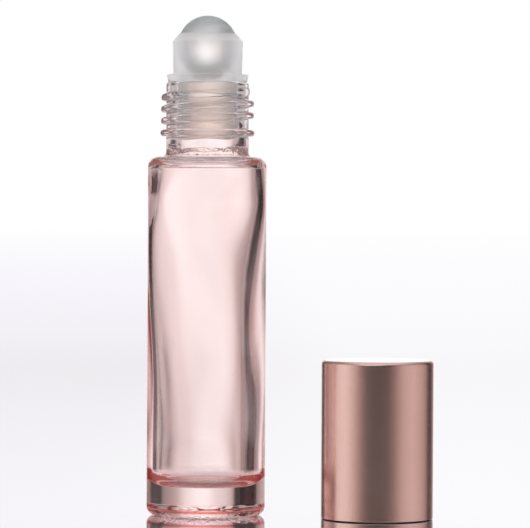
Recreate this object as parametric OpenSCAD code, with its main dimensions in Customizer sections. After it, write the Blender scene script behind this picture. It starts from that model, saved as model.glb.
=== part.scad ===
// A roll-on bottle, standing upright with its cap taken off and standing beside it on its open end.
// Lengths are in millimetres. +Z is up, and the origin is the centre of the bottle's standing ring.

/* [Glass body] */
// Outside diameter of the glass body
body_d = 20; // [18.5:0.5:24]
// Height of the flat shoulder above the surface that the bottle stands on
shoulder_h = 60.3; // [40:0.1:80]
// Thickness of the glass side wall
wall_t = 1.8; // [1:0.1:2.2]
// Thickness of the glass under the neck, at the shoulder
shoulder_t = 1.1; // [0.8:0.1:2]
// Height of the well's lowest point above the surface that the bottle stands on
floor_h = 4.9; // [2.5:0.1:7]
// Radius of the heel, where the base turns up into the side
heel_r = 1.5; // [0.8:0.1:2]
// Radius of the outside corner of the shoulder
shoulder_r = 1.65; // [0.8:0.05:2]
// Radius of the corner inside, between the well's floor and its side
well_r = 3; // [1.5:0.1:4]
// Radius of the corner inside, under the shoulder
vault_r = 0.9; // [0.5:0.1:1.5]
// Width of the flat ring that the bottle stands on
standing_w = 0.6; // [0.3:0.1:1]
// Depth of the shallow hollow under the base
punt_depth = 0.5; // [0.2:0.1:1]

/* [Glass neck] */
// Diameter of the neck's bore
bore_d = 10.4; // [10:0.1:11]
// Thickness of the neck's wall, at the root of its screw thread
neck_t = 1.75; // [1.4:0.05:2.1]
// Height of the neck above the shoulder
neck_h = 12.6; // [11:0.1:16]
// How far the ring bead under the thread stands out from the neck
bead_out = 1; // [0.9:0.05:1.2]
// Thickness of the ring bead, whose edge is round
bead_t = 1.2; // [0.8:0.1:1.6]
// Height of the middle of the ring bead above the shoulder
bead_rise = 4; // [2.5:0.1:5]
// Radius of the fillet where the neck meets the shoulder
neck_fillet_r = 0.9; // [0.4:0.1:1.5]
// Radius of the lip's outer edge
lip_outer_r = 0.5; // [0.2:0.1:0.6]
// Radius of the bore's edges, at the lip and inside at the vault
bore_edge_r = 0.3; // [0.1:0.1:0.5]

/* [Roller ball] */
// Diameter of the ball
ball_d = 10; // [9.6:0.1:10.2]
// Gap all round between the ball and its socket
ball_gap = 0.05; // [0.02:0.01:0.1]
// Height of the ball's centre above the top of the flange
ball_rise = 4.95; // [4.8:0.05:6]

/* [Roller housing] */
// How far the flange's top edge lies inside the neck's side
flange_inset = 0.05; // [0.05:0.05:0.3]
// Thickness of the flange, which sits on the glass lip
flange_t = 1.25; // [0.8:0.05:2]
// How far the flange's side draws in from its top to its underside
flange_draft = 0.25; // [0.05:0.05:0.5]
// Thickness of the cup's wall beside the ball's middle
cup_t = 0.86; // [0.6:0.02:1]
// How far the cup's wall draws in from the ball's middle down to the flange
cup_draft = 0.12; // [0.02:0.02:0.3]
// Height above the ball's centre at which the cup's straight side ends and its bevel starts
bevel_rise = 0.65; // [0.3:0.05:1]
// Height of the cup's lip above the ball's centre
lip_rise = 2; // [1.5:0.05:2.4]
// Width of the lip's top edge
lip_w = 0.12; // [0.08:0.02:0.3]
// Length of the plug below the flange
plug_l = 9.5; // [7:0.1:10.5]
// Thickness of the plug's wall
plug_t = 0.6; // [0.4:0.05:0.8]
// Thickness of the seat under the ball
seat_t = 0.8; // [0.6:0.05:1.2]
// Gap between the plug's wall and the bore, which its sealing beads bridge
plug_gap = 0.25; // [0.15:0.05:0.4]
// Gap left between the sealing beads and the bore
seal_gap = 0.03; // [0.01:0.01:0.08]
// Radius of a sealing bead's round edge
seal_r = 0.45; // [0.35:0.05:0.6]
// Number of sealing beads round the plug
seal_count = 3; // [2:1:4]
// Size of the lead-in chamfer at the plug's foot
lead_in = 0.35; // [0.1:0.05:0.4]
// Diameter of the feed hole through the seat
feed_d = 3; // [2:0.1:4]
// Width of a feed slot, which wets the ball beside the hole
slot_w = 1; // [0.6:0.1:1.4]
// Distance from the axis to a feed slot's end
slot_reach = 3; // [2:0.1:3.6]
// Number of feed slots round the hole
slot_count = 4; // [3:1:6]

/* [Cap shell] */
// Thickness of the shell's metal
shell_t = 0.4; // [0.3:0.05:0.5]
// Radius of the shell's top edge
cap_edge_r = 0.7; // [0.6:0.05:1.2]
// Size of the broken edge on the shell's rim
rim_break = 0.1; // [0.05:0.05:0.15]
// Distance from the bottle's axis to the cap's axis, to the right
cap_x = 28.7; // [24:0.1:60]
// Distance from the bottle's axis to the cap's axis, to the front
cap_front = 6; // [0.5:0.5:20]

/* [Cap liner] */
// Thickness of the liner's wall at its mouth
liner_t = 0.72; // [0.6:0.01:1.2]
// Gap between the liner and the shell round it
liner_gap = 0.03; // [0.01:0.01:0.08]
// How far the liner's rim lies above the shell's rim
liner_recess = 0.4; // [0.2:0.1:0.8]
// Gap round the ring bead in the liner's plain mouth
mouth_gap = 0.25; // [0.2:0.01:0.3]
// Height of the plain mouth above the ring bead, when the cap is on
mouth_rise = 0.6; // [0.3:0.1:0.9]
// Step in radius from the plain mouth to the threaded wall
thread_step = 0.25; // [0.2:0.01:0.25]
// Height from the threaded wall's end up to the glass lip, when the cap is on
thread_end = 0.2; // [0.1:0.1:0.6]
// Length of the cone from the threaded wall in to the upper sleeve
cone_l = 1; // [0.5:0.1:1.5]
// Gap round the flange inside the upper sleeve
sleeve_gap = 0.35; // [0.2:0.05:0.4]
// Thickness of the upper sleeve's wall
sleeve_t = 0.8; // [0.6:0.05:0.85]
// Thickness of the liner's top
liner_top_t = 1; // [0.8:0.1:1.5]
// Number of ribs between the upper sleeve and the shell
rib_count = 16; // [8:1:24]
// Width of a rib
rib_w = 0.8; // [0.6:0.1:1.2]
// How far a rib's foot lies inside the liner's wall
rib_inset = 0.03; // [0.02:0.01:0.08]
// Radius of the ring that presses on the ball when the cap is on
presser_r = 3.4; // [2.8:0.1:3.8]
// Thickness of that ring
presser_t = 0.7; // [0.5:0.05:1]
// Length of that ring, down from the liner's top
presser_l = 2.8; // [2:0.1:4]
// Gap between the shoulder and the shell's rim, when the cap is on
closed_gap = 0.2; // [0.1:0.05:0.4]

/* [Hidden] */

// Facets round a full turn
$fn = 96;
// How far a cut runs past the face that it opens
over = 1;
// How far a piece of a solid runs into the piece that it grows from
into = 0.1;
// Share of the plug's length that the sealing beads are spread over
seal_share = 0.7;

glass_color = [0.98, 0.78, 0.76, 0.45];
housing_color = [0.86, 0.87, 0.88, 0.8];
ball_color = [0.97, 0.96, 0.93];
shell_color = [0.8, 0.6, 0.56];
liner_color = [0.95, 0.94, 0.92];

body_r = body_d / 2;
inner_r = body_r - wall_t;
bore_r = bore_d / 2;
neck_r = bore_r + neck_t;
bead_r = neck_r + bead_out;
bead_h = shoulder_h + bead_rise;
lip_h = shoulder_h + neck_h;
vault_h = shoulder_h - shoulder_t;
// The fillet is no wider than the flat that the shoulder leaves beside the neck
root_fillet = min(neck_fillet_r, max(into, body_r - shoulder_r - neck_r));

ball_r = ball_d / 2;
socket_r = ball_r + ball_gap;
flange_h = lip_h + flange_t;
flange_r = neck_r - flange_inset;
ball_h = flange_h + ball_rise;
cup_r = socket_r + cup_t;
cup_lip_h = ball_h + lip_rise;
cup_lip_r = sqrt(pow(socket_r, 2) - pow(lip_rise, 2));
plug_r = bore_r - plug_gap;
plug_in = plug_r - plug_t;
plug_foot = lip_h - plug_l;

// Heights in the cap are counted from its own rim, which closes just above the shoulder
mouth_r = bead_r + mouth_gap;
thread_r = mouth_r - thread_step;
liner_r = mouth_r + liner_t;
cap_r = liner_r + liner_gap + shell_t;
sleeve_in = flange_r + sleeve_gap;
sleeve_r = sleeve_in + sleeve_t;
thread_z = bead_rise + bead_t / 2 + mouth_rise - closed_gap;
cone_z = neck_h - closed_gap - thread_end;
sleeve_z = cone_z + cone_l;
presser_z = ball_h + sqrt(pow(ball_r, 2) - pow(presser_r, 2)) - shoulder_h - closed_gap;
roof_z = presser_z + presser_l;
liner_top = roof_z + liner_top_t;
cap_h = liner_top + shell_t;

// Half section of a block of radius r from z0 up to z1, with its top corner rounded
module round_top(r, z0, z1, corner) {
  translate([0, z0]) square([r - corner, z1 - z0]);
  translate([0, z0]) square([r, z1 - z0 - corner]);
  translate([r - corner, z1 - corner]) circle(corner);
}

// The same with its bottom corner rounded
module round_bottom(r, z0, z1, corner) {
  translate([0, z0]) square([r - corner, z1 - z0]);
  translate([0, z0 + corner]) square([r, z1 - z0 - corner]);
  translate([r - corner, z0 + corner]) circle(corner);
}

// Fillet in the corner between an upright side at r and a flat at z; up is 1, or -1 under the flat
module corner_fill(r, z, fillet, up) {
  low = up > 0 ? z - into : z - fillet;
  difference() {
    translate([r - into, low]) square([fillet + into, fillet + into]);
    translate([r + fillet, z + up * fillet]) circle(fillet);
  }
}

// The glass: body with a flat shoulder, neck with a ring bead, and a well with a round floor
module glass_bottle() {
  color(glass_color) difference() {
    rotate_extrude() glass_outside();
    rotate_extrude() glass_inside();
    punt();
  }
}

module glass_outside() {
  round_bottom(body_r, 0, vault_h, heel_r);
  round_top(body_r, floor_h, shoulder_h, shoulder_r);
  round_top(neck_r, vault_h, lip_h, lip_outer_r);
  corner_fill(neck_r, shoulder_h, root_fillet, 1);
  bead_edge_r = bead_t / 2;
  translate([0, bead_h - bead_edge_r]) square([bead_r - bead_edge_r, bead_t]);
  translate([bead_r - bead_edge_r, bead_h]) circle(bead_edge_r);
}

module glass_inside() {
  middle_h = (floor_h + vault_h) / 2;
  round_bottom(inner_r, floor_h, middle_h + into, well_r);
  round_top(inner_r, middle_h, vault_h, vault_r);
  translate([0, vault_h - into]) square([bore_r, lip_h - vault_h + over]);
  corner_fill(bore_r, vault_h, bore_edge_r, 1);
  corner_fill(bore_r, lip_h, bore_edge_r, -1);
}

// The shallow dome under the base, inside the standing ring
module punt() {
  rim_r = body_r - heel_r - standing_w;
  dome_r = (pow(rim_r, 2) + pow(punt_depth, 2)) / (2 * punt_depth);
  translate([0, 0, punt_depth - dome_r]) sphere(dome_r);
}

// The moulded housing: flange, cup with a spherical socket and a turned-in lip, and hollow plug
module roller_housing() {
  color(housing_color) difference() {
    rotate_extrude() housing_outside();
    translate([0, 0, ball_h]) sphere(socket_r);
    rotate_extrude() plug_hollow();
    feed();
  }
}

module housing_outside() {
  // Cup
  polygon([[0, lip_h], [cup_r - cup_draft, lip_h], [cup_r, ball_h + bevel_rise],
    [cup_lip_r + lip_w, cup_lip_h], [0, cup_lip_h]]);
  // Flange
  polygon([[0, lip_h], [flange_r - flange_draft, lip_h], [flange_r, flange_h], [0, flange_h]]);
  // Plug, with its lead-in and its sealing beads
  polygon([[0, plug_foot], [plug_r - lead_in, plug_foot], [plug_r, plug_foot + lead_in],
    [plug_r, lip_h + into], [0, lip_h + into]]);
  for (i = [1 : seal_count]) {
    translate([bore_r - seal_gap - seal_r, lip_h - i * plug_l * seal_share / seal_count]) circle(seal_r);
  }
}

// The plug's hollow, closed above by a seat of even thickness that follows the ball
module plug_hollow() {
  difference() {
    translate([0, plug_foot - over]) square([plug_in, ball_h - plug_foot]);
    translate([0, ball_h]) circle(socket_r + seat_t);
  }
}

// The feed hole and its slots, through the seat only
module feed() {
  feed_z = ball_h - socket_r - seat_t - into;
  feed_l = ball_h - sqrt(pow(socket_r, 2) - pow(slot_reach, 2)) - feed_z;
  translate([0, 0, feed_z]) cylinder(r = feed_d / 2, h = feed_l);
  for (i = [0 : slot_count - 1]) {
    rotate(i * 360 / slot_count) translate([0, -slot_w / 2, feed_z]) cube([slot_reach, slot_w, feed_l]);
  }
}

module roller_ball() {
  color(ball_color) translate([0, 0, ball_h]) sphere(ball_r);
}

// Puts a cap piece where the cap stands, on its open end beside the bottle
module at_cap() {
  translate([cap_x, -cap_front, 0]) children();
}

// The pressed metal shell, with a closed flat top
module cap_shell() {
  color(shell_color) at_cap() rotate_extrude() difference() {
    round_top(cap_r, 0, cap_h, cap_edge_r);
    round_top(cap_r - shell_t, -over, cap_h - shell_t, cap_edge_r - shell_t);
    translate([cap_r, 0]) rotate(45) square(rim_break * sqrt(2), center = true);
  }
}

// The moulded liner: mouth, threaded wall, upper sleeve on ribs, top, and the ring that presses the ball
module cap_liner() {
  color(liner_color) at_cap() union() {
    rotate_extrude() liner_half();
    for (i = [0 : rib_count - 1]) {
      rotate(i * 360 / rib_count) rib();
    }
  }
}

module liner_half() {
  polygon([[mouth_r, liner_recess], [liner_r, liner_recess], [liner_r, sleeve_z], [sleeve_r, sleeve_z + cone_l],
    [sleeve_r, roof_z], [liner_r, roof_z], [liner_r, liner_top - cap_edge_r], [liner_r - cap_edge_r, liner_top],
    [0, liner_top], [0, roof_z], [presser_r - presser_t / 2, roof_z], [presser_r - presser_t / 2, presser_z],
    [presser_r + presser_t / 2, presser_z], [presser_r + presser_t / 2, roof_z], [sleeve_in, roof_z],
    [sleeve_in, sleeve_z], [thread_r, cone_z], [thread_r, thread_z], [mouth_r, thread_z - thread_step]]);
}

module rib() {
  foot_r = sqrt(pow(liner_r - rib_inset, 2) - pow(rib_w / 2, 2));
  translate([sleeve_r - into, -rib_w / 2, sleeve_z]) cube([foot_r - sleeve_r + into, rib_w, roof_z - sleeve_z + into]);
}

glass_bottle();
roller_housing();
roller_ball();
cap_shell();
cap_liner();
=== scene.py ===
"""Dresses a pink glass roll-on bottle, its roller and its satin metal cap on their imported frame.

Lengths are in metres in the frame's own coordinates: +Z is up along the bottle's axis, +X points to the cap
and -Y to the viewer. Each piece is a surface of revolution worked out with numpy, whose radius may also
change round the axis, and each replaces the plain solid of the same name.
"""
from math import atan, ceil, pi, radians, sin, sqrt, tan

import bpy
import numpy as np
from bpy.props import FloatProperty, FloatVectorProperty, IntProperty, PointerProperty
from mathutils import Euler, Matrix, Vector
from numpy.polynomial.chebyshev import chebvander


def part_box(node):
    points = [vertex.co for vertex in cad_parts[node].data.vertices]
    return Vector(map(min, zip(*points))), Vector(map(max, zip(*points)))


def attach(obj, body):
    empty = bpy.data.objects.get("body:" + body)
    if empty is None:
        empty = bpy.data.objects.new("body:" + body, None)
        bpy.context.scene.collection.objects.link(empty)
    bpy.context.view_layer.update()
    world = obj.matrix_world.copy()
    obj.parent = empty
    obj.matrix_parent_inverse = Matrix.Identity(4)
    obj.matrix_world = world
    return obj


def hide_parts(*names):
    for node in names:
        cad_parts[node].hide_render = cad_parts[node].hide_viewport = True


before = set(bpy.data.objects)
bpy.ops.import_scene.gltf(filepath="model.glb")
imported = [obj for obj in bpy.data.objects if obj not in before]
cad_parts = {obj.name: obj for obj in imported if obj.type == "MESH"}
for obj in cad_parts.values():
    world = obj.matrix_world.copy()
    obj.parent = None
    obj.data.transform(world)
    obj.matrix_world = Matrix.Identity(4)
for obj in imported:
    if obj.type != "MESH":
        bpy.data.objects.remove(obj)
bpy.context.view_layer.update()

bl_info = {
    "name": "Roll-on bottle",
    "version": (1, 0, 0),
    "blender": (4, 5, 0),
    "location": "View3D > Sidebar > Roll-on",
    "description": "Builds a pink glass roll-on bottle, its roller and its satin metal cap",
    "category": "Add Mesh",
}

GLASS_LOW, GLASS_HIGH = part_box("glass_bottle")
HOUSING_LOW, HOUSING_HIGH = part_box("roller_housing")
BALL_LOW, BALL_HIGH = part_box("roller_ball")
SHELL_LOW, SHELL_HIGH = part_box("cap_shell")
LINER_LOW, LINER_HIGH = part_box("cap_liner")

MM = 0.001


# Settings

def metres(name, description, default):
    """A length property."""
    return FloatProperty(name=name, description=description, default=default, min=0, precision=5,
                         unit="LENGTH")


def mm(name, description, default):
    """A length property whose default is given in millimetres."""
    return metres(name, description, default * MM)


def angle(name, description, degrees):
    """An angle property, whose default is given in degrees."""
    return FloatProperty(name=name, description=description, default=radians(degrees), subtype="ANGLE")


def colour(name, description, default):
    """A linear colour property."""
    return FloatVectorProperty(name=name, description=description, default=default, size=3, min=0, max=1,
                               subtype="COLOR")


def share(name, description, default):
    """A property from 0 to 1."""
    return FloatProperty(name=name, description=description, default=default, min=0, max=1, subtype="FACTOR")


def number(name, description, default, least, most, kind=FloatProperty):
    """A plain number property."""
    return kind(name=name, description=description, default=default, min=least, max=most)


def count(name, description, default, least, most):
    """A whole number property."""
    return number(name, description, default, least, most, IntProperty)


class GlassSizes(bpy.types.PropertyGroup):
    body_r: metres("Body radius", "Outside radius of the body", (GLASS_HIGH[0] - GLASS_LOW[0]) / 2)
    lip_h: metres("Lip height", "Height of the glass lip", GLASS_HIGH[2])
    shoulder_h: mm("Shoulder height", "Height of the flat shoulder", 60.3)
    vault_h: mm("Vault height", "Height of the inside under the shoulder", 59.2)
    floor_h: mm("Floor height", "Height of the well's lowest point", 4.9)
    neck_r: mm("Neck radius", "Outside radius of the neck at the thread's root", 6.95)
    bore_r: mm("Bore radius", "Radius of the neck's bore", 5.2)
    heel_r: mm("Heel radius", "Radius of the corner at the foot", 1.5)
    shoulder_r: mm("Shoulder corner", "Radius of the corner at the shoulder", 1.65)
    well_r: mm("Well corner", "Radius of the corner round the well's floor", 3)
    vault_r: mm("Vault corner", "Radius of the corner inside, under the shoulder", 0.9)
    standing_w: mm("Standing ring", "Width of the flat ring that the bottle stands on", 0.6)
    punt_depth: mm("Punt depth", "Depth of the hollow under the base", 0.5)
    root_r: mm("Neck root", "Radius of the fillet between shoulder and neck", 0.9)
    bead_out: mm("Bead height", "How far the ring bead stands out from the neck", 1)
    bead_t: mm("Bead thickness", "Thickness of the ring bead", 1.2)
    bead_rise: mm("Bead rise", "Height of the bead's middle above the shoulder", 4)
    wall: mm("Wall", "Mean thickness of the wall", 1.8)
    unevenness: share("Unevenness", "How much of the blown wall's unevenness is kept", 1)


class ThreadSizes(bpy.types.PropertyGroup):
    pitch: mm("Pitch", "Rise of the thread in one turn", 2)
    depth: mm("Depth", "How far the ridge stands out", 0.9)
    ridge_w: mm("Ridge width", "Width of the ridge at its root", 1.3)
    top_h: mm("Top end", "Height of the thread's upper end", 70.45)
    turns: number("Turns", "Turns of the thread", 2.2, 0.5, 4)
    start: angle("Start", "Direction of the upper end from +X", 207)
    fade: angle("Fade", "Turn over which an end fades out", 35)
    run_out: share("Run-out", "Share of the depth that the ridge keeps for one turn past its upper end", 0.2)
    cap_depth: mm("Cap thread depth", "How far the liner's ridge stands in", 0.75)


class RollerSizes(bpy.types.PropertyGroup):
    ball_r: metres("Ball radius", "Radius of the ball", (BALL_HIGH[2] - BALL_LOW[2]) / 2)
    ball_h: metres("Ball height", "Height of the ball's centre", (BALL_HIGH[2] + BALL_LOW[2]) / 2)
    ball_gap: mm("Ball gap", "Gap between the ball and its socket", 0.05)
    foot_h: metres("Plug foot", "Height of the plug's foot", HOUSING_LOW[2])
    cup_top: metres("Cup top", "Height of the cup's lip", HOUSING_HIGH[2])
    flange_r: metres("Flange radius", "Radius of its top edge", (HOUSING_HIGH[0] - HOUSING_LOW[0]) / 2)
    flange_t: mm("Flange thickness", "Thickness of the flange", 1.25)
    flange_draft: mm("Flange draft", "How far the flange's side draws in downwards", 0.25)
    cup_r: mm("Cup radius", "Radius of the cup where its bevel starts", 5.91)
    cup_draft: mm("Cup draft", "How far the cup's side draws in downwards", 0.12)
    bevel_rise: mm("Bevel rise", "Height of the bevel's start above the ball's centre", 0.65)
    lip_w: mm("Lip width", "Width of the cup's lip", 0.12)
    plug_gap: mm("Plug gap", "Gap between the plug and the bore", 0.25)
    plug_t: mm("Plug wall", "Thickness of the plug's wall", 0.6)
    seat_t: mm("Seat", "Thickness of the seat under the ball", 0.8)
    seal_gap: mm("Seal gap", "Gap between a sealing bead and the bore", 0.03)
    seal_r: mm("Seal radius", "Radius of a sealing bead's edge", 0.45)
    seal_count: count("Seals", "Number of sealing beads", 3, 1, 5)
    feed_r: mm("Feed hole", "Radius of the feed hole", 1.5)
    slot_reach: mm("Slot reach", "Distance from the axis to a feed slot's end", 3)
    slot_w: mm("Slot width", "Width of a feed slot", 1)
    slot_count: count("Slots", "Number of feed slots", 4, 2, 8)


class CapSizes(bpy.types.PropertyGroup):
    shell_r: metres("Shell radius", "Outside radius of the shell", (SHELL_HIGH[0] - SHELL_LOW[0]) / 2)
    shell_h: metres("Shell height", "Height of the metal shell", SHELL_HIGH[2])
    shell_t: mm("Shell metal", "Thickness of the shell's metal", 0.4)
    edge_r: mm("Top edge", "Radius of the shell's top edge", 0.7)
    rim_r: mm("Rim edge", "Radius of the shell's rim edges", 0.12)
    rim_step: mm("Rim step", "How far the shell's cut edge stands back from its side", 0.14)
    rim_gap: mm("Rim gap", "Height of the cut edge under the side", 0.16)
    liner_r: metres("Liner radius", "Outside radius of the liner", (LINER_HIGH[0] - LINER_LOW[0]) / 2)
    liner_low: metres("Liner rim", "Height of the liner's rim", LINER_LOW[2])
    liner_high: metres("Liner top", "Height of the liner's top", LINER_HIGH[2])
    mouth_r: mm("Mouth radius", "Radius of the liner's plain mouth", 8.2)
    thread_r: mm("Threaded wall", "Radius of the liner's threaded wall", 7.95)
    thread_low: mm("Thread start", "Height at which the threaded wall starts", 5)
    cone_low: mm("Cone start", "Height at which the threaded wall ends", 12.2)
    sleeve_low: mm("Sleeve start", "Height at which the upper sleeve starts", 13.2)
    sleeve_in: mm("Sleeve bore", "Inside radius of the upper sleeve", 7.25)
    sleeve_t: mm("Sleeve wall", "Thickness of the upper sleeve", 0.8)
    top_t: mm("Liner top wall", "Thickness of the liner's top", 1)
    presser_r: mm("Presser radius", "Radius of the ring that presses the ball", 3.4)
    presser_t: mm("Presser wall", "Thickness of that ring", 0.7)
    presser_l: mm("Presser length", "Length of that ring", 2.8)
    rib_count: count("Ribs", "Number of ribs on the sleeve", 16, 4, 32)
    rib_w: mm("Rib width", "Width of a rib", 0.8)


class Finishes(bpy.types.PropertyGroup):
    glass_coat: colour("Glass coat", "Light that passes the pink coat on the glass", (0.9935, 0.906, 0.9))
    # Painted glow: flat light given off by the glass where a ray is caught too long
    glass_caught_glow: colour("Deep glass", "Light caught in the glass for many bounces", (0.33, 0.16, 0.15))
    neck_caught_glow: colour("Deep neck", "Light caught in the neck for many bounces", (0.28, 0.235, 0.24))
    housing_colour: colour("Housing", "Milky part of the housing's plastic", (0.84, 0.84, 0.86))
    # Painted shade: the milky plug is darker where the glass neck closes round it
    plug_shaded_milk: colour("Plug", "Milky part of the plug inside the neck", (0.6, 0.6, 0.61))
    housing_clear: colour("Clear housing", "Clear part of the housing's plastic", (0.995, 0.985, 0.975))
    # Painted warm light: the clear plug is tinted like light through the pink glass
    plug_warm_light: colour("Clear plug", "Clear part of the plug's plastic", (0.97, 0.885, 0.83))
    ball_colour: colour("Ball", "Milky part of the ball's plastic", (0.35, 0.375, 0.38))
    ball_clear: colour("Clear ball", "Clear part of the ball's plastic", (0.995, 0.985, 0.98))
    metal_colour: colour("Metal", "Anodised rose gold metal", (0.79, 0.535, 0.475))
    liner_colour: colour("Liner", "White plastic of the liner", (0.86, 0.85, 0.82))


class StageSizes(bpy.types.PropertyGroup):
    focal_px: number("Focal length", "Focal length in the photograph's pixels", 3500, 100, 100000)
    distance: metres("Distance", "From the camera to the bottle's axis", 0.59)
    camera_x: mm("Camera side", "How far the camera stands to the right of the bottle", 9.81)
    camera_h: mm("Camera height", "Height of the camera above the floor", 52.6)
    horizon_px: number("Horizon", "Horizon above the picture's middle, in pixels", 61, -264, 264)
    roll: angle("Roll", "Turn of the camera about its own axis", 0.3)
    floor_size: metres("Floor", "Half the side of the floor", 6)


class RollOnSettings(bpy.types.PropertyGroup):
    glass: PointerProperty(type=GlassSizes)
    thread: PointerProperty(type=ThreadSizes)
    roller: PointerProperty(type=RollerSizes)
    cap: PointerProperty(type=CapSizes)
    finish: PointerProperty(type=Finishes)
    stage: PointerProperty(type=StageSizes)


# Half sections: rows of (distance from the axis, height)

# Turn between two points of an arc, distance between points of a straight run and from its ends, and how near
# points count as one, or as lying on a wall
ARC_STEP = radians(9)
SPACING = 1.2 * MM
SUPPORT = 0.03 * MM
SAME = 1e-7
TOUCHING = 1e-8


def straight(start, end):
    """Points on the line from start to end, about SPACING apart, with one close to each end.

    The close ones keep smooth shading flat on a straight run that meets a round corner."""
    start = np.array(start, float)
    end = np.array(end, float)
    run = np.linalg.norm(end - start)
    steps = np.linspace(0, 1, max(2, ceil(run / SPACING) + 1))
    if run > 4 * SUPPORT:
        steps = np.unique(np.concatenate([steps, [SUPPORT / run, 1 - SUPPORT / run]]))
    return start + steps[:, None] * (end - start)


def arc(centre, radius, start, end, points=None):
    """Points on the circle round centre, from the angle start to the angle end."""
    turn = np.linspace(start, end, points or max(3, ceil(abs(end - start) / ARC_STEP) + 1))
    return np.stack([centre[0] + radius * np.cos(turn), centre[1] + radius * np.sin(turn)], axis=1)


def rounded(corners):
    """Half section through corners of (distance from the axis, height, corner radius).

    A corner is replaced by the arc of its radius that is tangent to both of its sides, which starts at
    radius / tan(half the angle between the sides) from the corner. Straight runs join the arcs."""
    runs = []
    last = np.array(corners[0][:2], float)
    for before, corner, after in zip(corners, corners[1:], corners[2:]):
        point = np.array(corner[:2], float)
        back = np.array(before[:2], float) - point
        ahead = np.array(after[:2], float) - point
        back /= np.linalg.norm(back)
        ahead /= np.linalg.norm(ahead)
        half = np.arccos(np.clip(back @ ahead, -1, 1)) / 2
        radius = corner[2]
        enter = point + back * radius / tan(half)
        leave = point + ahead * radius / tan(half)
        middle = back + ahead
        centre = point + middle / np.linalg.norm(middle) * radius / sin(half)
        runs.append(straight(last, enter))
        first = np.arctan2(*(enter - centre)[::-1])
        turn = np.arctan2(*(leave - centre)[::-1]) - first
        turn = (turn + pi) % (2 * pi) - pi
        if radius > 0:
            runs.append(arc(centre, radius, first, first + turn))
        last = leave
    runs.append(straight(last, corners[-1][:2]))
    return joined(runs)


def upright(radius, start, end, step):
    """A plain wall from one height to another, with rows close enough to carry fine detail."""
    rows = np.arange(start, end, step)
    return np.stack([np.full(len(rows), radius), rows], axis=1)


def joined(runs):
    """The runs one after another, without the points that repeat the one before them."""
    points = np.concatenate(runs)
    apart = np.linalg.norm(np.diff(points, axis=0), axis=1) > TOUCHING
    return points[np.concatenate([[True], apart])]


def on_wall(section, radius, low):
    """Which rows of a section lie on the wall of that radius, above the height low."""
    return (np.abs(section[:, 0] - radius) < SAME) & (section[:, 1] > low)


def smooth(low, high, value):
    """0 below low, 1 above high and an even S-curve 3t^2 - 2t^3 between them."""
    t = np.clip((value - low) / (high - low), 0, 1)
    return t * t * (3 - 2 * t)


def eased(value, base, run):
    """The same S-curve of a length, over a run of (low, high) millimetres past base."""
    return smooth(base + run[0] * MM, base + run[1] * MM, value)


# Meshes

def even_angles(columns=180):
    """Directions evenly spread round the axis."""
    return np.linspace(0, 2 * pi, columns, endpoint=False)


def ring_mesh(name, radii, heights, angles, centre=(0, 0), closed=False, coat=None):
    """Mesh whose point [i, j] lies radii[i, j] from the axis and heights[i, j] up, in direction angles[j].

    Rows join round the axis. The first and last rows are points on the axis, or, if closed, they are joined
    to each other, as on a ring. Faces point outwards where the section runs up the outside and down the
    inside. A coat gives each point its thickness of coat, an attribute of that name for the material."""
    rows, columns = radii.shape
    x = centre[0] + radii * np.cos(angles)
    y = centre[1] + radii * np.sin(angles)
    points = np.stack([x, y, heights], axis=2).reshape(-1, 3)
    here = np.arange(columns)
    beside = np.roll(here, -1)
    row = np.arange(rows) if closed else np.arange(1, rows - 2)
    low = row[:, None] * columns
    high = (row[:, None] + 1) % rows * columns
    faces = np.stack([low + here, low + beside, high + beside, high + here], axis=2).reshape(-1, 4).tolist()
    if not closed:
        tip = (rows - 1) * columns
        top_row = tip - columns
        faces += np.stack([0 * here, columns + beside, columns + here], axis=1).tolist()
        faces += np.stack([tip + 0 * here, top_row + here, top_row + beside], axis=1).tolist()
        used = np.concatenate([[0], np.arange(columns, tip), [tip]])
        place = np.zeros(rows * columns, int)
        place[used] = np.arange(len(used))
        points = points[used]
        coat = None if coat is None else coat.reshape(-1)[used]
        faces = [place[face].tolist() for face in faces]
    mesh = bpy.data.meshes.new(name)
    mesh.from_pydata(points.tolist(), [], faces)
    mesh.polygons.foreach_set("use_smooth", np.ones(len(mesh.polygons), bool))
    if coat is not None:
        mesh.attributes.new("coat", "FLOAT", "POINT").data.foreach_set("value", coat.astype(np.float32))
    mesh.update()
    return mesh


def turned(section, angles):
    """Radii and heights of a plain surface of revolution: the section's own, the same in every direction."""
    return [np.repeat(section[:, column:column + 1], len(angles), axis=1) for column in (0, 1)]


def add_object(data):
    """A new object in the scene that holds a mesh, lamp or camera and has its name."""
    thing = bpy.data.objects.new(data.name, data)
    bpy.context.scene.collection.objects.link(thing)
    return thing


def place_piece(mesh, material, node, body):
    """Puts a mesh in the scene as the piece that stands for a node, and makes it ride on the node's body."""
    mesh.materials.append(material)
    piece = add_object(mesh)
    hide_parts(node)
    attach(piece, body)
    return piece


# Shapes of the pieces

# Powers of the ridge's hump, and the turns past its upper end between which it runs out
RIDGE_FLAT, RIDGE_STEEP = 3, 0.45
RUN_OUT_TURNS = (-1, -0.7)


def ridge(angles, heights, thread, top_h):
    """Height of a right-hand thread's ridge over its wall, from 0 to 1, at each direction and height.

    The ridge's middle goes down one pitch a turn from its upper end at top_h. Across, it is a rounded hump
    (1 - |x|^3)^0.45 of x = distance from the middle over half its width. Both ends fade out by an S-curve.
    Past the upper one the ridge runs on for a turn at a low share of its height, which fades in as well."""
    out = np.zeros(heights.shape)
    for lap in range(-1, ceil(thread.turns) + 1):
        turn = ((thread.start - angles) / (2 * pi)) % 1 + lap
        x = np.abs(heights - (top_h - thread.pitch * turn)) / (thread.ridge_w / 2)
        hump = np.clip(1 - x ** RIDGE_FLAT, 0, 1) ** RIDGE_STEEP
        upper = smooth(0, thread.fade, turn * 2 * pi)
        upper = np.maximum(upper, thread.run_out * smooth(*RUN_OUT_TURNS, turn))
        lower = smooth(0, thread.fade, (thread.turns - turn) * 2 * pi)
        out = np.maximum(out, hump * upper * lower)
    return out


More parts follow.
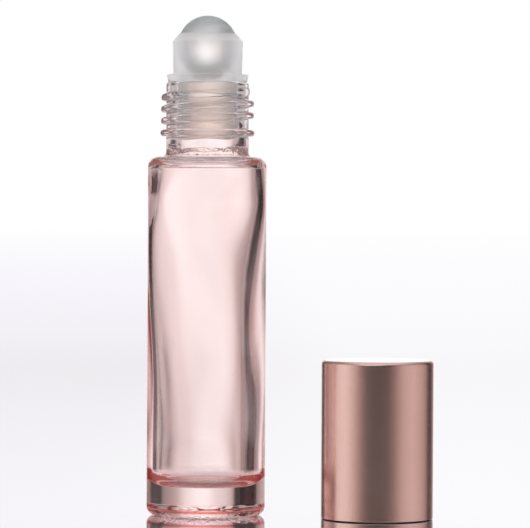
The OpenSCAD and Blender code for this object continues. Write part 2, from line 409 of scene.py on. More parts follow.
# Corners and runs of the glass that no setting gives
GLASS_SOFT = 0.2 * MM
BEAD_ROUND = 0.48
THREAD_END = 0.6 * MM
THREAD_STEP = 0.05 * MM
LIP_OUTER, LIP_INNER, LIP_RUN = 0.5 * MM, 0.3 * MM, 2 * MM
BORE_TURN = 3.2 * MM
PUNT_POINTS = 24


def glass_section(size):
    """Half section of the glass from the middle of its base, up the outside, and down the inside to the well.

    Returns the section, the rows that carry the thread, and the rows of the inner wall. The hollow under the
    base rises by (1 - x^2)^2 of x = distance from the axis over the hollow's radius."""
    rim_r = size.body_r - size.heel_r - size.standing_w
    across = np.linspace(0, 1, PUNT_POINTS)
    punt = np.stack([across * rim_r, size.punt_depth * (1 - across ** 2) ** 2], axis=1)
    bead_h = size.shoulder_h + size.bead_rise
    bead_low = bead_h - size.bead_t / 2
    bead_high = bead_h + size.bead_t / 2
    bead_r = size.neck_r + size.bead_out
    bead_turn = BEAD_ROUND * size.bead_t
    thread_low = bead_high + GLASS_SOFT
    thread_high = size.lip_h - THREAD_END
    below = rounded([
        (rim_r, 0, 0), (size.body_r, 0, size.heel_r), (size.body_r, size.shoulder_h, size.shoulder_r),
        (size.neck_r, size.shoulder_h, size.root_r), (size.neck_r, bead_low, GLASS_SOFT),
        (bead_r, bead_low, bead_turn), (bead_r, bead_high, bead_turn), (size.neck_r, bead_high, GLASS_SOFT),
        (size.neck_r, thread_low + GLASS_SOFT, 0)])
    threaded = upright(size.neck_r, thread_low + GLASS_SOFT, thread_high, THREAD_STEP)
    lip = rounded([
        (size.neck_r, thread_high, 0), (size.neck_r, size.lip_h, LIP_OUTER),
        (size.bore_r, size.lip_h, LIP_INNER), (size.bore_r, size.lip_h - LIP_RUN, 0)])
    inner_r = size.body_r - size.wall
    inside = rounded([
        (size.bore_r, size.lip_h - LIP_RUN, 0), (size.bore_r, size.vault_h, BORE_TURN),
        (inner_r, size.vault_h, size.vault_r), (inner_r, size.floor_h, size.well_r), (0, size.floor_h, 0)])
    section = joined([punt, below, threaded, lip, inside])
    inner = np.arange(len(section)) > len(section) - len(inside)
    return section, on_wall(section, size.neck_r, thread_low) & ~inner, inner


# The blown wall's unevenness, in millimetres of inside radius. Row 0 is the mean's change, and rows 2n-1 and
# 2n are the cosine and the sine of n times the direction. The columns go with the Chebyshev polynomials of
# the height from WALL_MIDDLE over WALL_HALF, held at WALL_TOP. Under the vault all but a fifth dies out.
WALL_MIDDLE = 33.2 * MM
WALL_HALF = 22.3 * MM
WALL_TOP = 0.86
VAULT_LOSS, VAULT_RUN = 0.8, (-6.5, -0.5)
WALL_WAVES = np.array([
    (-0.215, 0.321, -0.289, -0.059, -0.056, -0.050),
    (-0.420, -0.293, 0.046, 0.120, -0.044, -0.078),
    (0.152, -0.393, -0.072, 0.061, 0.014, -0.108),
    (-0.105, 0.358, 0.210, 0.013, 0.006, 0.034),
    (-0.060, 0.013, 0.082, 0.040, -0.091, -0.035),
    (0.043, 0.077, 0.047, 0.008, -0.003, 0.025),
    (-0.117, 0.187, -0.051, -0.134, -0.064, 0.058),
    (0.026, -0.029, 0.052, 0.019, -0.007, 0.003),
    (0.051, -0.071, -0.051, 0.023, 0.027, -0.007),
    (0.030, 0.037, 0.040, 0.024, 0.011, 0.002),
    (0.021, 0.047, 0.082, 0.074, 0.033, -0.006),
    (0.018, -0.013, -0.003, 0.002, 0.005, -0.002),
    (0.022, 0.005, 0.010, -0.006, -0.000, 0.003)]) * MM


def inside_radius(angles, heights, size):
    """Radius of the blown inside: its mean, plus waves round the axis.

    Each wave's strength is a sum of Chebyshev polynomials of the height."""
    u = np.clip((heights - WALL_MIDDLE) / WALL_HALF, -1.0, WALL_TOP)
    strengths = np.moveaxis(chebvander(u, WALL_WAVES.shape[1] - 1) @ WALL_WAVES.T, -1, 0)
    waves = strengths[0]
    for order in range(1, (len(WALL_WAVES) + 1) // 2):
        waves = waves + strengths[2 * order - 1] * np.cos(order * angles)
        waves = waves + strengths[2 * order] * np.sin(order * angles)
    waves = waves * (1 - VAULT_LOSS * eased(heights, size.vault_h, VAULT_RUN))
    return size.body_r - size.wall + size.unevenness * waves


# The bore's two crossed waves: turns round the axis, radians per millimetre of height, and starting radians
BORE_WAVES = ((2, 1.7, 0.0), (3, -0.9, 1.0))


def bore_waves(angles, heights):
    """Slow dents in the neck's bore, from 0 to 1: a sine times a cosine, which run round the axis and up."""
    z = heights / MM
    first, second = (turns * angles + rise * z + start for turns, rise, start in BORE_WAVES)
    return 0.5 + 0.5 * np.sin(first) * np.cos(second)


# Depth of the bore's dents in millimetres and how much more it is at the neck's foot, and the runs over which
# they change: up from the vault, and out from the bore
DENT, DENT_MORE = 0.12, 0.15
DENT_FOOT, DENT_REACH = (3.5, 5), (1, 2.4)
VAULT_EDGE = 0.1 * MM


def bottle_mesh(size, thread):
    """The glass: its section turned round the axis, with the thread's ridge added on the neck.

    The inner wall's radius is scaled to its uneven one, and the vault's from the bore outwards."""
    angles = even_angles()
    section, threaded, inner = glass_section(size)
    radii, heights = turned(section, angles)
    radii[threaded] += thread.depth * ridge(angles, heights[threaded], thread, thread.top_h)
    inner_r = size.body_r - size.wall
    scale = inside_radius(angles, heights[inner], size) / inner_r
    ease = smooth(size.bore_r + VAULT_EDGE, inner_r, radii[inner])
    ease = np.where(heights[inner] < size.vault_h / 2, 1, ease)
    radii[inner] *= 1 + (scale - 1) * ease
    neck = inner & (section[:, 1] > size.vault_h - VAULT_EDGE) & (section[:, 1] < size.lip_h - LIP_OUTER)
    dent = DENT + DENT_MORE * (1 - eased(heights[neck], size.vault_h, DENT_FOOT))
    dent *= 1 - eased(radii[neck], size.bore_r, DENT_REACH)
    radii[neck] += dent * MM * bore_waves(angles, heights[neck])
    return ring_mesh("bottle_glass", radii, heights, angles, coat=coat_layers(angles, radii, heights, size))


# The pink coat's thickness as a share of the body's, and the runs over which it changes, in millimetres: up
# from the shoulder, out from the neck's root or the body's side, and up from the ground or the well's floor
NECK_COAT, NECK_LOSS, COAT_LEAVES, NECK_PALES = 0.22, 0.16, (0.4, 4.4), (3.7, 9.7)
CREST_COAT, CREST_LOW, CREST_RISE, CREST_PALES = 0.22, 1.3, (0.2, 0.8), (3, 8)
# The heel's strip is painted light: thick coat at the front only, in place of the coral light reflected
# inside the heel
HEEL_PAINTED_COAT, HEEL_BACK, HEEL_RIM = 14, 0.1, (-4, -2)
HEEL_STARTS, HEEL_ENDS = (0.75, 1), (1.15, 1.45)
# The well's colour is painted light: coat on the inside, in place of the coral light sent into the corner
# from the heel
WELL_PAINTED_COAT, WELL_MIDDLE, WELL_OUT, WELL_UP = 1.75, 0.15, (4, 8), (0.8, 3.2)
# Sines of the directions over which the heel's painted strip starts at the front, and the well's painted
# colour at its sides
HEEL_FRONT, WELL_SIDES = (0.1, 0.5), (0.5, 0.9)


def coat_layers(angles, radii, heights, size):
    """Thickness of the pink coat, which is 1 on the body's side.

    It fades out up the neck, with more on the ridges' crests, and at the heel's front a thick strip of it is
    painted in, as painted coral light that the heel reflects inside.
    Inside, painted coral light lies in the well's lower corner, most at the left and right, and none
    elsewhere: coat where the glass has none, in place of light from the heel's coat."""
    on_neck = eased(heights, size.shoulder_h, COAT_LEAVES)
    neck = NECK_COAT - NECK_LOSS * eased(heights, size.shoulder_h, NECK_PALES)
    crest = CREST_COAT * eased(radii, size.neck_r, CREST_RISE)
    crest *= CREST_LOW - eased(heights, size.shoulder_h, CREST_PALES)
    # Painted coral light at the heel, strongest on the viewer's side
    front = HEEL_BACK + (1 - HEEL_BACK) * smooth(*HEEL_FRONT, -np.sin(angles))
    heel_painted_light = HEEL_PAINTED_COAT * eased(radii, size.body_r, HEEL_RIM) * front
    heel_painted_light *= (1 - eased(heights, 0, HEEL_ENDS)) * eased(heights, 0, HEEL_STARTS)
    outer = (1 - on_neck) * (1 + heel_painted_light) + on_neck * (neck + crest)
    # Painted coral light in the well's corner, strongest at the left and right
    well = WELL_PAINTED_COAT * (WELL_MIDDLE + (1 - WELL_MIDDLE) * smooth(*WELL_SIDES, abs(np.cos(angles))))
    well = well * eased(radii, 0, WELL_OUT) * (1 - eased(heights, size.floor_h, WELL_UP))
    lip = np.argmax(heights[:, 0] > size.lip_h - SAME)
    return np.where(np.arange(len(heights))[:, None] < lip, outer, well)


# Corners, runs and steps of the housing that no setting gives. The socket starts SOCKET_GAP radians under the
# cup's lip, and the sealing beads share out SEAL_SPREAD of the plug's length.
HOUSING_SOFT = 0.08 * MM
PLUG_LEAD, PLUG_END = 0.35 * MM, 0.8 * MM
BEADED_LOW, BEADED_HIGH, BEADED_STEP = 0.85 * MM, 0.3 * MM, 0.06 * MM
UNDER_FLANGE = 0.25 * MM
BEVEL_R, CUP_LIP_R, CUP_LIP_IN = 0.15 * MM, 0.03 * MM, 0.02 * MM
SOCKET_GAP = 0.03
SOCKET_DOWN = radians(-50)
SEAT_ROWS, SOCKET_ROWS_UP, SOCKET_ROWS_DOWN = 14, 8, 12
SEAL_SPREAD = 0.7


def housing_mesh(size, glass):
    """The moulded housing: a ring-shaped section that runs down the hollow plug and up the outside.

    The sealing beads are arcs added to the plug's radius, and the feed slots draw the hole's edge out along
    the seat, both on its top and on its underside."""
    angles = even_angles()
    socket = size.ball_r + size.ball_gap
    under = socket + size.seat_t
    plug_r = glass.bore_r - size.plug_gap
    plug_in = plug_r - size.plug_t
    flange_h = glass.lip_h + size.flange_t
    lip_rise = size.cup_top - size.ball_h
    lip_r = sqrt(socket ** 2 - lip_rise ** 2)
    soft = HOUSING_SOFT

    def seat(radius, first, last):
        """Arc of the seat's sphere, from one distance off the axis to another."""
        reach = np.linspace(first, last, SEAT_ROWS)
        return np.stack([reach, size.ball_h - np.sqrt(radius ** 2 - reach ** 2)], axis=1)

    underside = seat(under, size.feed_r, plug_in)
    side = rounded([
        (plug_in, underside[-1, 1], 0), (plug_in, size.foot_h, soft), (plug_r - PLUG_LEAD, size.foot_h, soft),
        (plug_r, size.foot_h + PLUG_LEAD, soft), (plug_r, size.foot_h + PLUG_END, 0)])
    beaded = upright(plug_r, size.foot_h + BEADED_LOW, glass.lip_h - BEADED_HIGH, BEADED_STEP)
    outside = rounded([
        (plug_r, glass.lip_h - UNDER_FLANGE, 0), (plug_r, glass.lip_h, soft),
        (size.flange_r - size.flange_draft, glass.lip_h, soft), (size.flange_r, flange_h, soft),
        (size.cup_r - size.cup_draft, flange_h, soft), (size.cup_r, size.ball_h + size.bevel_rise, BEVEL_R),
        (lip_r + size.lip_w, size.cup_top, CUP_LIP_R), (lip_r, size.cup_top, CUP_LIP_IN),
        (lip_r + CUP_LIP_IN, size.cup_top - soft, 0)])
    middle = (0, size.ball_h)
    upper = arc(middle, socket, np.arcsin(lip_rise / socket) - SOCKET_GAP, 0, SOCKET_ROWS_UP)
    lower = arc(middle, socket, 0, SOCKET_DOWN, SOCKET_ROWS_DOWN)
    top_seat = seat(socket, lower[-1, 0], size.feed_r)
    section = joined([underside, side, beaded, outside, upper, lower, top_seat])
    radii, heights = turned(section, angles)
    on_plug = on_wall(section, plug_r, size.foot_h + PLUG_END)
    for seal in range(size.seal_count):
        middle = glass.lip_h - (seal + 1) * SEAL_SPREAD * (glass.lip_h - size.foot_h) / size.seal_count
        reach = np.sqrt(np.clip(size.seal_r ** 2 - (heights - middle) ** 2, 0, None))
        bead = glass.bore_r - size.seal_gap - size.seal_r + reach
        radii[on_plug] = np.maximum(radii[on_plug], bead[on_plug])
    slot = np.abs((angles * size.slot_count / (2 * pi) + 0.5) % 1 - 0.5) * 2 * pi / size.slot_count
    edge = np.where(slot < np.arcsin(size.slot_w / 2 / size.slot_reach), size.slot_reach, size.feed_r)
    for radius, rows in ((under, slice(0, SEAT_ROWS)), (socket, slice(len(section) - SEAT_ROWS, None))):
        far = radii[rows].max()
        radii[rows] = edge + (far - edge) * (radii[rows] - size.feed_r) / (far - size.feed_r)
        heights[rows] = size.ball_h - np.sqrt(radius ** 2 - radii[rows] ** 2)
    return ring_mesh("roller_housing_moulding", radii, heights, angles, closed=True)


# Points round the ball and from its foot to its top
BALL_COLUMNS, BALL_ROWS = 128, 97


def ball_mesh(size):
    """The ball: a half circle from its lowest to its highest point, turned round the axis."""
    angles = even_angles(BALL_COLUMNS)
    section = arc((0, size.ball_h), size.ball_r, -pi / 2, pi / 2, BALL_ROWS)
    return ring_mesh("roller_ball_sphere", *turned(section, angles), angles)


def cap_axis():
    """Where the cap's axis meets the floor."""
    return ((SHELL_LOW[0] + SHELL_HIGH[0]) / 2, (SHELL_LOW[1] + SHELL_HIGH[1]) / 2)


# Radius of the side's lower edge, over the cut rim
RIM_SOFT = 0.05 * MM


def shell_mesh(size):
    """The metal shell: a cup's section from the middle of its inner top, down the inside and up outside."""
    angles = even_angles()
    inner_r = size.shell_r - size.shell_t
    roof = size.shell_h - size.shell_t
    rim = size.shell_r - size.rim_step
    section = rounded([
        (0, roof, 0), (inner_r, roof, size.edge_r - size.shell_t), (inner_r, 0, size.rim_r), (rim, 0, 0),
        (rim, size.rim_gap, 0), (size.shell_r, size.rim_gap, RIM_SOFT),
        (size.shell_r, size.shell_h, size.edge_r), (0, size.shell_h, 0)])
    return ring_mesh("cap_shell_metal", *turned(section, angles), angles, cap_axis())


# Corners, runs and steps of the liner that no setting gives
LINER_SOFT = 0.12 * MM
CONE_END, LINER_THREAD_HIGH, LINER_THREAD_LOW, LINER_STEP = 0.3 * MM, 0.35 * MM, 0.1 * MM, -0.06 * MM
MOUTH_RUN, MOUTH_EDGE, MOUTH_STEP, MOUTH_TURN = 0.05 * MM, 0.02 * MM, 0.15 * MM, 0.05 * MM
SLEEVE_RISE = 1 * MM
LINER_BEVEL = 0.7 * MM
THREAD_TOP_GAP = 0.9 * MM
RIB_GAP = 0.03 * MM
RIB_EDGE = radians(0.05)
LINER_COLUMNS = 144


def liner_mesh(size, thread):
    """The liner: a cup's section with the presser ring, the threaded wall and the plain mouth inside.

    Its thread is the same ridge as the neck's, taken off the radius, and its ribs raise the sleeve's outside
    to the shell between two steep edges each."""
    half_rib = size.rib_w / 2 / size.liner_r
    ribs = np.arange(size.rib_count) * 2 * pi / size.rib_count
    edges = [ribs + way for way in (-half_rib - RIB_EDGE, -half_rib, half_rib, half_rib + RIB_EDGE)]
    angles = np.unique(np.round(np.concatenate([even_angles(LINER_COLUMNS)] + edges) % (2 * pi), 7))
    roof = size.liner_high - size.top_t
    tip = roof - size.presser_l
    presser_in = size.presser_r - size.presser_t / 2
    presser_out = size.presser_r + size.presser_t / 2
    sleeve_r = size.sleeve_in + size.sleeve_t
    soft = LINER_SOFT
    inner = rounded([
        (0, roof, 0), (presser_in, roof, soft), (presser_in, tip, soft), (presser_out, tip, soft),
        (presser_out, roof, soft), (size.sleeve_in, roof, 2 * soft), (size.sleeve_in, size.sleeve_low, soft),
        (size.thread_r, size.cone_low, soft), (size.thread_r, size.cone_low - CONE_END, 0)])
    threaded = upright(size.thread_r, size.cone_low - LINER_THREAD_HIGH, size.thread_low + LINER_THREAD_LOW,
                       LINER_STEP)
    mouth = rounded([
        (size.thread_r, size.thread_low + MOUTH_RUN, 0), (size.thread_r, size.thread_low, MOUTH_EDGE),
        (size.mouth_r, size.thread_low - MOUTH_STEP, MOUTH_TURN), (size.mouth_r, size.liner_low, soft),
        (size.liner_r, size.liner_low, soft), (size.liner_r, size.sleeve_low, soft),
        (sleeve_r, size.sleeve_low + SLEEVE_RISE, soft), (sleeve_r, roof, soft), (size.liner_r, roof, soft),
        (size.liner_r, size.liner_high - LINER_BEVEL, soft),
        (size.liner_r - LINER_BEVEL, size.liner_high, soft), (0, size.liner_high, 0)])
    section = joined([inner, threaded, mouth])
    radii, heights = turned(section, angles)
    threads = on_wall(section, size.thread_r, size.thread_low)
    top_h = size.cone_low - THREAD_TOP_GAP
    radii[threads] -= thread.cap_depth * ridge(angles, heights[threads], thread, top_h)
    near = np.abs((angles[:, None] - ribs + pi) % (2 * pi) - pi).min(axis=1) < half_rib + RIB_EDGE / 2
    radii[np.ix_(on_wall(section, sleeve_r, size.sleeve_low), near)] = size.liner_r - RIB_GAP
    return ring_mesh("cap_liner_moulding", radii, heights, angles, cap_axis())


# Nodes

WHITE = (1, 1, 1)
# From all to nothing, for what ends over a run
ALL_TO_NONE = (1.0, 0.0)


def empty_tree(owner):
    """The node tree of a new material or world, with nothing in it."""
    owner.use_nodes = True
    owner.node_tree.nodes.clear()
    return owner.node_tree


def new_material(name):
    """An empty node material and its node tree."""
    material = bpy.data.materials.new(name)
    return material, empty_tree(material)


def add_node(tree, kind, inputs=(), **settings):
    """A node with its settings. An input takes a plain value, a colour or another node's output."""
    node = tree.nodes.new("ShaderNode" + kind)
    for name, value in settings.items():
        setattr(node, name, value)
    for name, value in dict(inputs).items():
        socket = node.inputs[name]
        if isinstance(value, bpy.types.NodeSocket):
            tree.links.new(value, socket)
        else:
            socket.default_value = (*value[:3], 1) if socket.type == "RGBA" else value
    return node


def reckoned(tree, operation, *values):
    """Result of a Math node."""
    return add_node(tree, "Math", enumerate(values), operation=operation).outputs["Value"]


def mapped(tree, value, low=0.0, high=1.0, to=(0.0, 1.0)):
    """A value taken from the run low to high to another run, and held at its ends."""
    node = add_node(tree, "MapRange", {
        "Value": value, "From Min": low, "From Max": high, "To Min": to[0], "To Max": to[1]})
    return node.outputs["Result"]


def mixed(tree, factor, first, second, **settings):
    """A colour that goes from the first to the second with a factor."""
    inputs = {"Factor": factor, "A": first, "B": second}
    return add_node(tree, "Mix", inputs, data_type="RGBA", **settings).outputs["Result"]


def banded(tree, value, bands):
    """The colour at a value in (place, colour) bands, which rise. A number in place of a colour is a grey."""
    node = add_node(tree, "ValToRGB", {"Fac": value})
    bands = [(at, tone if isinstance(tone, tuple) else (tone,) * 3) for at, tone in bands]
    elements = node.color_ramp.elements
    for element, (at, tone) in zip(elements, (bands[0], bands[-1])):
        element.position = at
        element.color = (*tone, 1)
    for at, tone in bands[1:-1]:
        elements.new(at).color = (*tone, 1)
    return node.outputs["Color"]


def bumped(tree, height, distance, **others):
    """Normal of a surface with a bump of that height and depth."""
    inputs = {"Height": height, "Distance": distance, "Strength": 1.0, **others}
    return add_node(tree, "Bump", inputs).outputs["Normal"]


def noise(tree, where, scale, **others):
    """Even noise from 0 to 1 at a place."""
    return add_node(tree, "TexNoise", {"Vector": where, "Scale": scale, **others}).outputs["Fac"]


def object_place(tree):
    """A point's place in object coordinates."""
    return add_node(tree, "TexCoord").outputs["Object"]


def parts(tree, vector):
    """A vector's X, Y and Z."""
    return add_node(tree, "SeparateXYZ", {"Vector": vector}).outputs


def slant(tree):
    """0 where a ray meets the surface squarely, and 1 where it runs along it."""
    return add_node(tree, "LayerWeight", {"Blend": 0.5}).outputs["Facing"]


def blended(tree, factor, first, second, kind="OutputMaterial"):
    """Ends a tree in a shader node that turns into a second one with a factor."""
    total = add_node(tree, "MixShader", {"Fac": factor, 1: first.outputs[0], 2: second.outputs[0]})
    add_node(tree, kind, {"Surface": total.outputs["Shader"]})


# The grain group's inputs and their defaults
GRAIN_INPUTS = {"Grain Scale": 6000.0, "Drift Scale": 120.0, "Drift Share": 0.3}


def grain_group():
    """Fine grain in object coordinates: a mask from 0 to 1 with a slower unevenness in it, and a height."""
    name = "fine_grain"
    if name in bpy.data.node_groups:
        return bpy.data.node_groups[name]
    tree = bpy.data.node_groups.new(name, "ShaderNodeTree")
    for label, default in GRAIN_INPUTS.items():
        socket = tree.interface.new_socket(label, in_out="INPUT", socket_type="NodeSocketFloat")
        socket.default_value = default
    for label in ("Mask", "Height"):
        tree.interface.new_socket(label, in_out="OUTPUT", socket_type="NodeSocketFloat")
    given = tree.nodes.new("NodeGroupInput").outputs
    leave = tree.nodes.new("NodeGroupOutput").inputs
    where = object_place(tree)
    grain = noise(tree, where, given["Grain Scale"], Detail=2.0, Roughness=0.6)
    drift = noise(tree, where, given["Drift Scale"], Detail=1.0)
    mask = add_node(tree, "Mix", {"Factor": given["Drift Share"], "A": grain, "B": drift}, data_type="FLOAT")
    tree.links.new(mask.outputs["Result"], leave["Mask"])
    tree.links.new(grain, leave["Height"])
    return tree


def add_grain(tree, scale, drift, part):
    """Mask and height of the grain group, placed in a material with its own values."""
    node = add_node(tree, "Group", zip(GRAIN_INPUTS, (scale, drift, part)), node_tree=grain_group())
    return node.outputs["Mask"], node.outputs["Height"]


# Materials

def speckled(tree, mask, tone, spread):
    """A colour that a mask takes from a little darker to a little lighter, at or under 1."""
    tones = [tuple(min(1.0, value * factor) for value in tone) for factor in (1 - spread, 1 + spread)]
    return mixed(tree, mask, *tones)


def shaded(tree, grain, tone, rough, bump, inputs):
    """A Principled surface whose roughness follows the grain's mask, with the grain as a bump."""
    mask, height = grain
    shader = add_node(tree, "BsdfPrincipled", {
        "Base Color": tone, "Roughness": mapped(tree, mask, to=rough),
        "Normal": bumped(tree, height, bump), **inputs})
    add_node(tree, "OutputMaterial", {"Surface": shader.outputs["BSDF"]})


# How many times a ray from inside the glass takes the coat's colour, by how flat it meets the surface
COAT_PASSES = ((0, 1.0), (0.25, 1.2), (0.26, 2.7), (0.5, 3.2), (0.75, 5), (1, 7))
# The thickest coat that the material tells apart, in passes through a single one. Up to ten passes give a
# power of the coat's colour, and past them come the tones of the heel's painted strip of coral light.
DEEP_COAT = 24.0
COAT_POWERS = (0, 1, 2, 3.5, 6, 10)
HEEL_PAINTED_TONES = ((16 / DEEP_COAT, (0.66, 0.22, 0.2)), (1, (0.5, 0.16, 0.14)))
# Cloud in the coat, and the depth of the slow waves that blowing leaves
COAT_CLOUD = (0.9, 1.1)
BLOWN_WAVES = 0.01 * MM
# Lumps from the mould: their size and depth, and the heights over which they come and go at heel and neck
LUMP_SCALE = 1300.0
LUMP_DEPTH = 0.3 * MM
HEEL_LUMPS_END = (1.0 * MM, 1.3 * MM)
ROOT_LUMPS_START, ROOT_LUMPS_END, ROOT_LUMPS = (59.3 * MM, 59.9 * MM), (61.4 * MM, 62.2 * MM), 0.28
# Reflections, and bounces of any kind, past which a ray still caught in the glass ends in a painted glow of
# its deep colour
CAUGHT_REFLECTIONS = 3.5
CAUGHT_BOUNCES = 10.5
# Heights over which the painted glow's deep colour turns into the neck's pale one
DEEP_PALES = (52 * MM, 60 * MM)


def glass_material(finish):
    """Clear polished glass in a thin pink coat, which the light passes more often the flatter it meets it.

    A ray from outside takes the coat's colour once. One from inside takes a power of it by its angle: up to
    the angle at which glass starts to reflect all light it passes once, and past it once in and once out, at
    a slant. The power is multiplied by the coat's thickness there. Slow waves from blowing stay in the
    surface, and small lumps lie on the heel and round the neck's foot. A ray that stays caught in the glass
    for longer than a render follows it ends in a painted glow: a flat emission of the glass's deep colour."""
    material, tree = new_material("pink_glass")
    mask, height = add_grain(tree, scale=260.0, drift=90.0, part=0.5)
    where = object_place(tree)
    rise = parts(tree, where)["Z"]
    ray = add_node(tree, "LightPath").outputs
    coat = add_node(tree, "Attribute", attribute_name="coat").outputs["Fac"]
    coat = reckoned(tree, "MULTIPLY", coat, mapped(tree, mask, to=COAT_CLOUD))
    inside = add_node(tree, "NewGeometry").outputs["Backfacing"]
    passes = banded(tree, slant(tree), [(at, number / DEEP_COAT) for at, number in COAT_PASSES])
    passes = mixed(tree, inside, (1 / DEEP_COAT,) * 3, passes)
    tones = [(power / DEEP_COAT, tuple(tone ** power for tone in finish.glass_coat)) for power in COAT_POWERS]
    tint = banded(tree, reckoned(tree, "MULTIPLY", coat, passes), [*tones, *HEEL_PAINTED_TONES])
    heel = mapped(tree, rise, *HEEL_LUMPS_END, ALL_TO_NONE)
    root = reckoned(tree, "MULTIPLY", mapped(tree, rise, *ROOT_LUMPS_START),
                    mapped(tree, rise, *ROOT_LUMPS_END, (ROOT_LUMPS, 0.0)))
    marks = bumped(tree, noise(tree, where, LUMP_SCALE, Detail=1.0), LUMP_DEPTH,
                   Strength=reckoned(tree, "MAXIMUM", heel, root), Normal=bumped(tree, height, BLOWN_WAVES))
    shader = add_node(tree, "BsdfGlass", {"Color": tint, "Roughness": 0.0, "IOR": 1.5, "Normal": marks})
    # Painted glow: past these counts the glass gives off a flat light of its deep colour
    turned_back = reckoned(tree, "GREATER_THAN", ray["Glossy Depth"], CAUGHT_REFLECTIONS)
    bounced = reckoned(tree, "GREATER_THAN", ray["Ray Depth"], CAUGHT_BOUNCES)
    deep = mixed(tree, mapped(tree, rise, *DEEP_PALES), finish.glass_caught_glow, finish.neck_caught_glow)
    glow = add_node(tree, "Emission", {"Color": deep, "Strength": 1.0})
    blended(tree, reckoned(tree, "MAXIMUM", turned_back, bounced), shader, glow)
    return material


# The cloudy plastics' change of tone, depth of grain and change of roughness, and how far light goes in them
CLOUD_SPREAD = 0.03
CLOUD_GRAIN = 0.001 * MM
CLOUD_ROUGHER = 0.05
LIGHT_SPREAD = (2 * MM, 2 * MM, 2 * MM)
# Heights over which the plug's painted shade and warm light turn into the cup's tones
PLUG_FADES = (GLASS_HIGH[2] - 1 * MM, GLASS_HIGH[2])


def cloudy(tree, grain, clear_tone, milk_tone, least, most, power, rough, ior):
    """Translucent plastic: a clear part that warms what is seen through it, and a milky part that scatters.

    The milky part's share goes from least to most by a power of the slant at which the surface is seen, as
    the way through the plastic gets longer there."""
    mask, height = grain
    both = {"Roughness": mapped(tree, mask, to=(rough, rough + CLOUD_ROUGHER)),
            "Normal": bumped(tree, height, CLOUD_GRAIN)}
    clear = add_node(tree, "BsdfPrincipled", {
        "Base Color": clear_tone, "Transmission Weight": 1.0, "IOR": ior, **both})
    cloud = add_node(tree, "BsdfPrincipled", {
        "Base Color": milk_tone, "IOR": 1.5, "Subsurface Weight": 1.0, "Subsurface Radius": LIGHT_SPREAD,
        "Subsurface Scale": 1.0, **both})
    milk = mapped(tree, reckoned(tree, "POWER", slant(tree), power), to=(least, most))
    blended(tree, milk, clear, cloud)


def housing_material(finish):
    """Natural translucent plastic, finely matt from its mould. Its light bends little in so thin a wall.

    Under the flange, inside the neck, it turns darker and warmer: painted shade in the milky part and painted
    warm light from the pink glass in the clear part."""
    material, tree = new_material("natural_plastic")
    grain = add_grain(tree, scale=5200.0, drift=240.0, part=0.4)
    above = mapped(tree, parts(tree, object_place(tree))["Z"], *PLUG_FADES)
    clear = mixed(tree, above, finish.plug_warm_light, finish.housing_clear)
    milky = speckled(tree, grain[0], finish.housing_colour, CLOUD_SPREAD)
    milky = mixed(tree, above, finish.plug_shaded_milk, milky)
    cloudy(tree, grain, clear, milky, least=0.1, most=0.9, power=1.2, rough=0.45, ior=1.13)
    return material


def ball_material(finish):
    """Natural plastic of the ball, smooth and a little cloudy."""
    material, tree = new_material("ball_plastic")
    grain = add_grain(tree, scale=3000.0, drift=300.0, part=0.6)
    milky = speckled(tree, grain[0], finish.ball_colour, CLOUD_SPREAD)
    cloudy(tree, grain, finish.ball_clear, milky, least=0.08, most=1.2, power=1.5, rough=0.36, ior=1.45)
    return material


# Painted contact shade on the shell's cut edge and the heights over which it ends, and how level the
# lacquered top is
RIM_PAINTED_SHADE = (0.02, 0.014, 0.012)
RIM_PAINTED_SHADE_END = (0.14 * MM, 0.18 * MM)
LEVEL = (0.97, 0.995)


def metal_material(finish):
    """Satin anodised rose gold: a fine blasted grain with small brighter and darker specks.

    Clear lacquer lies on its flat top, which a flat glance turns white. The cut edge at the rim is painted
    nearly black, as painted contact shade where the cap stands on the floor."""
    material, tree = new_material("rose_gold_metal")
    grain = add_grain(tree, scale=3800.0, drift=150.0, part=0.2)
    tone = speckled(tree, grain[0], finish.metal_colour, spread=0.16)
    # Painted contact shade: below about 0.16 mm the shell turns nearly black
    tone = mixed(tree, mapped(tree, parts(tree, object_place(tree))["Z"], *RIM_PAINTED_SHADE_END), RIM_PAINTED_SHADE, tone)
    facing = parts(tree, add_node(tree, "NewGeometry").outputs["True Normal"])
    shaded(tree, grain, tone, rough=(0.22, 0.29), bump=0.004 * MM, inputs={
        "Metallic": 1.0, "Coat Roughness": 0.08, "Coat Weight": mapped(tree, facing["Z"], *LEVEL)})
    return material


def liner_material(finish):
    """White moulded plastic of the cap's liner."""
    material, tree = new_material("white_plastic")
    grain = add_grain(tree, scale=2600.0, drift=200.0, part=0.5)
    tone = speckled(tree, grain[0], finish.liner_colour, spread=0.04)
    shaded(tree, grain, tone, rough=(0.38, 0.5), bump=0.003 * MM, inputs={
        "IOR": 1.49, "Subsurface Weight": 0.2, "Subsurface Radius": (0.8 * MM, 0.7 * MM, 0.6 * MM),
        "Subsurface Scale": 1.0})
    return material


# Stage

# Light of the studio by direction from +Y in degrees, positive towards +X, and how warm its dark is
STUDIO = (
    (-180, 0.01), (-166, 0.01), (-157, 0.05), (-149, 0.16), (-141, 0.36), (-131, 0.62), (-120, 0.88),
    (-108, 1.04), (-86, 0.96), (-62, 0.66), (-50, 0.32), (-46, 0.02), (-21.5, 0.02), (-19.5, 0.45),
    (-17.5, 0.64), (-13, 0.82), (-7, 0.93), (-2, 1.13), (4.5, 1.13), (9, 1.02), (13, 0.9), (18.9, 0.55),
    (24.3, 0.4), (33, 0.26), (36.5, 0.02), (54, 0.02), (64, 0.4), (80, 0.6), (105, 0.78), (128, 0.62),
    (148, 0.2), (162, 0.02))
STUDIO_TOP = 1.16
STUDIO_DARK = (1.0, 0.7, 0.68)
# Rises between which the cards beside the object end, and those between which the tone over them goes again
CARDS_TOP, CARDS_OVER = (0.012, 0.022), (0.12, 0.22)
CARDS_ABOVE = (0.42, 0.38, 0.38)
